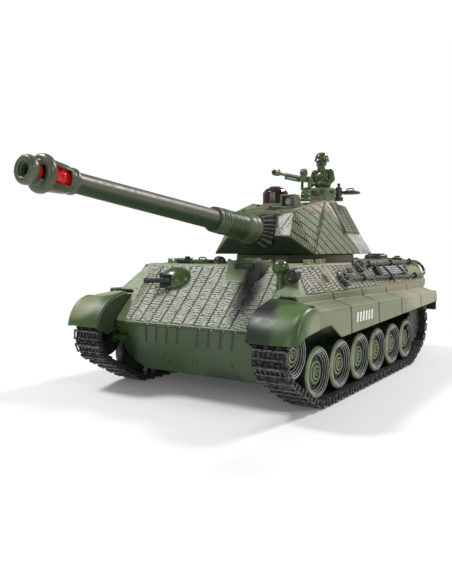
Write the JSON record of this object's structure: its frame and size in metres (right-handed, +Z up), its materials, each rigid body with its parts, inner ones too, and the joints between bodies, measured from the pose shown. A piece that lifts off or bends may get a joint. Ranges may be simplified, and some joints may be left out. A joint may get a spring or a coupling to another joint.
{
  "type": "remote controlled tank",
  "caption": "Toy battle tank with turning turret, elevating gun, tracked running gear, roof machine gun, hatch and commander figure.",
  "frame": {"origin": "under the middle of the whole tank, gun included, on the plane that the tracks stand on", "axes": "+Z up; the gun and the front of the hull point to -Y; the tank's own left side is +X"},
  "size_m": [0.1788, 0.4185, 0.1786],
  "materials": {
    "dark_green_plastic": "satin",
    "camouflage_plastic": "airbrushed camouflage, matte",
    "wheel_plastic": "matte",
    "green_plastic": "satin",
    "black_plastic": "matte",
    "track_plastic": "dry-brushed silver on charcoal",
    "silvered_plastic": "metallic paint",
    "battery_sleeve": "glossy",
    "circuit_laminate": "glossy",
    "smoked_plastic": "translucent amber brown",
    "clear_plastic": "clear, cut",
    "red_plastic": "translucent red",
    "grey_canvas": "pleated"
  },
  "bodies": {
    "hull": {"lower_hull": "dark_green_plastic", "upper_hull": "camouflage_plastic", "front_fender_left": "dark_green_plastic", "front_fender_right": "dark_green_plastic", "side_skirt_left": "camouflage_plastic", "side_skirt_right": "camouflage_plastic", "track_left": "track_plastic", "track_right": "track_plastic", "gearbox_left": "black_plastic", "gearbox_right": "black_plastic", "battery_pack": "battery_sleeve", "circuit_board": "circuit_laminate", "turret_motor": "black_plastic", "driver_hood": "green_plastic", "driver_hatch": "green_plastic", "radio_hatch": "green_plastic", "ball_mount": "green_plastic", "headlight": "dark_green_plastic", "horn": "black_plastic", "tow_cable_left": "silvered_plastic", "tow_cable_right": "silvered_plastic", "rod_rack_left": "silvered_plastic", "rod_rack_right": "silvered_plastic", "engine_deck": "black_plastic", "exhaust_left": "black_plastic", "exhaust_right": "black_plastic"},
    "idler_wheel_left": {"idler_wheel_left": "wheel_plastic"},
    "idler_wheel_right": {"idler_wheel_right": "wheel_plastic"},
    "road_wheel_1_left": {"road_wheel_1_left": "wheel_plastic"},
    "road_wheel_1_right": {"road_wheel_1_right": "wheel_plastic"},
    "road_wheel_2_left": {"road_wheel_2_left": "wheel_plastic"},
    "road_wheel_2_right": {"road_wheel_2_right": "wheel_plastic"},
    "road_wheel_3_left": {"road_wheel_3_left": "wheel_plastic"},
    "road_wheel_3_right": {"road_wheel_3_right": "wheel_plastic"},
    "road_wheel_4_left": {"road_wheel_4_left": "wheel_plastic"},
    "road_wheel_4_right": {"road_wheel_4_right": "wheel_plastic"},
    "road_wheel_5_left": {"road_wheel_5_left": "wheel_plastic"},
    "road_wheel_5_right": {"road_wheel_5_right": "wheel_plastic"},
    "road_wheel_6_left": {"road_wheel_6_left": "wheel_plastic"},
    "road_wheel_6_right": {"road_wheel_6_right": "wheel_plastic"},
    "sprocket_left": {"sprocket_left": "dark_green_plastic"},
    "sprocket_right": {"sprocket_right": "dark_green_plastic"},
    "battery_cover": {"battery_cover": "dark_green_plastic"},
    "power_switch": {"power_switch": "black_plastic"},
    "hull_machine_gun": {"hull_machine_gun": "black_plastic"},
    "turret": {"turret_shell": "camouflage_plastic", "turret_ring": "camouflage_plastic", "cupola": "green_plastic", "spotlight_housing": "camouflage_plastic", "spotlight_lens": "clear_plastic", "receiver_dome": "smoked_plastic"},
    "gun": {"mantlet": "dark_green_plastic", "mantlet_shroud": "grey_canvas", "gun_barrel": "camouflage_plastic", "muzzle_brake": "camouflage_plastic", "muzzle_lamp": "red_plastic"},
    "machine_gun_mount": {"machine_gun_mount": "green_plastic"},
    "machine_gun": {"machine_gun": "green_plastic"},
    "cupola_hatch": {"cupola_hatch": "green_plastic"},
    "commander": {"commander": "green_plastic"}
  },
  "joints": [
    {"name": "sprocket_left_spin", "type": "hinge", "parent": "hull", "child": "sprocket_left", "pos_m": [0.072, 0.14447, 0.0325], "axis": [1, 0, 0], "continuous": true},
    {"name": "idler_wheel_left_spin", "type": "hinge", "parent": "hull", "child": "idler_wheel_left", "pos_m": [0.072, -0.08422, 0.0376], "axis": [1, 0, 0], "continuous": true},
    {"name": "road_wheel_1_left_spin", "type": "hinge", "parent": "hull", "child": "road_wheel_1_left", "pos_m": [0.072, -0.05203, 0.022], "axis": [1, 0, 0], "continuous": true},
    {"name": "road_wheel_2_left_spin", "type": "hinge", "parent": "hull", "child": "road_wheel_2_left", "pos_m": [0.072, -0.01702, 0.022], "axis": [1, 0, 0], "continuous": true},
    {"name": "road_wheel_3_left_spin", "type": "hinge", "parent": "hull", "child": "road_wheel_3_left", "pos_m": [0.072, 0.01798, 0.022], "axis": [1, 0, 0], "continuous": true},
    {"name": "road_wheel_4_left_spin", "type": "hinge", "parent": "hull", "child": "road_wheel_4_left", "pos_m": [0.072, 0.05298, 0.022], "axis": [1, 0, 0], "continuous": true},
    {"name": "road_wheel_5_left_spin", "type": "hinge", "parent": "hull", "child": "road_wheel_5_left", "pos_m": [0.072, 0.08797, 0.022], "axis": [1, 0, 0], "continuous": true},
    {"name": "road_wheel_6_left_spin", "type": "hinge", "parent": "hull", "child": "road_wheel_6_left", "pos_m": [0.072, 0.12298, 0.022], "axis": [1, 0, 0], "continuous": true},
    {"name": "sprocket_right_spin", "type": "hinge", "parent": "hull", "child": "sprocket_right", "pos_m": [-0.072, 0.14447, 0.0325], "axis": [1, 0, 0], "continuous": true},
    {"name": "idler_wheel_right_spin", "type": "hinge", "parent": "hull", "child": "idler_wheel_right", "pos_m": [-0.072, -0.08422, 0.0376], "axis": [1, 0, 0], "continuous": true},
    {"name": "road_wheel_1_right_spin", "type": "hinge", "parent": "hull", "child": "road_wheel_1_right", "pos_m": [-0.072, -0.05203, 0.022], "axis": [1, 0, 0], "continuous": true},
    {"name": "road_wheel_2_right_spin", "type": "hinge", "parent": "hull", "child": "road_wheel_2_right", "pos_m": [-0.072, -0.01702, 0.022], "axis": [1, 0, 0], "continuous": true},
    {"name": "road_wheel_3_right_spin", "type": "hinge", "parent": "hull", "child": "road_wheel_3_right", "pos_m": [-0.072, 0.01798, 0.022], "axis": [1, 0, 0], "continuous": true},
    {"name": "road_wheel_4_right_spin", "type": "hinge", "parent": "hull", "child": "road_wheel_4_right", "pos_m": [-0.072, 0.05298, 0.022], "axis": [1, 0, 0], "continuous": true},
    {"name": "road_wheel_5_right_spin", "type": "hinge", "parent": "hull", "child": "road_wheel_5_right", "pos_m": [-0.072, 0.08797, 0.022], "axis": [1, 0, 0], "continuous": true},
    {"name": "road_wheel_6_right_spin", "type": "hinge", "parent": "hull", "child": "road_wheel_6_right", "pos_m": [-0.072, 0.12298, 0.022], "axis": [1, 0, 0], "continuous": true},
    {"name": "turret_traverse", "type": "hinge", "parent": "hull", "child": "turret", "pos_m": [0, 0.06648, 0.0945], "axis": [0, 0, 1], "range_deg": [-165, 165]},
    {"name": "gun_elevation", "type": "hinge", "parent": "turret", "child": "gun", "pos_m": [0, 0.02998, 0.1097], "axis": [-1, 0, 0], "range_deg": [-6, 9]},
    {"name": "mount_traverse", "type": "hinge", "parent": "turret", "child": "machine_gun_mount", "pos_m": [0.02, 0.04598, 0.14], "axis": [0, 0, 1], "range_deg": [-25, 25]},
    {"name": "machine_gun_elevation", "type": "hinge", "parent": "machine_gun_mount", "child": "machine_gun", "pos_m": [0.02, 0.04598, 0.154], "axis": [-1, 0, 0], "range_deg": [-5, 25]},
    {"name": "cupola_hatch_swing", "type": "hinge", "parent": "turret", "child": "cupola_hatch", "pos_m": [0.03, 0.08797, 0.146], "axis": [0, 0, 1], "range_deg": [-55, 55]},
    {"name": "commander_lift", "type": "slide", "parent": "turret", "child": "commander", "axis": [0, 0, 1], "range_m": [0, 0.025]},
    {"name": "hull_machine_gun_swing", "type": "hinge", "parent": "hull", "child": "hull_machine_gun", "pos_m": [-0.029, -0.06822, 0.0768], "axis": [0, 0, 1], "range_deg": [-8, 8]},
    {"name": "battery_cover_release", "type": "slide", "parent": "hull", "child": "battery_cover", "axis": [0, 0, -1], "range_m": [0, 0.012]},
    {"name": "power_switch_travel", "type": "slide", "parent": "hull", "child": "power_switch", "axis": [0, 1, 0], "range_m": [0, 0.006]}
  ],
  "couplings": [
    {"joint": "idler_wheel_left_spin", "follows": "sprocket_left_spin", "ratio": 1.2222},
    {"joint": "road_wheel_1_left_spin", "follows": "sprocket_left_spin", "ratio": 1.1},
    {"joint": "road_wheel_2_left_spin", "follows": "sprocket_left_spin", "ratio": 1.1},
    {"joint": "road_wheel_3_left_spin", "follows": "sprocket_left_spin", "ratio": 1.1},
    {"joint": "road_wheel_4_left_spin", "follows": "sprocket_left_spin", "ratio": 1.1},
    {"joint": "road_wheel_5_left_spin", "follows": "sprocket_left_spin", "ratio": 1.1},
    {"joint": "road_wheel_6_left_spin", "follows": "sprocket_left_spin", "ratio": 1.1},
    {"joint": "idler_wheel_right_spin", "follows": "sprocket_right_spin", "ratio": 1.2222},
    {"joint": "road_wheel_1_right_spin", "follows": "sprocket_right_spin", "ratio": 1.1},
    {"joint": "road_wheel_2_right_spin", "follows": "sprocket_right_spin", "ratio": 1.1},
    {"joint": "road_wheel_3_right_spin", "follows": "sprocket_right_spin", "ratio": 1.1},
    {"joint": "road_wheel_4_right_spin", "follows": "sprocket_right_spin", "ratio": 1.1},
    {"joint": "road_wheel_5_right_spin", "follows": "sprocket_right_spin", "ratio": 1.1},
    {"joint": "road_wheel_6_right_spin", "follows": "sprocket_right_spin", "ratio": 1.1}
  ]
}
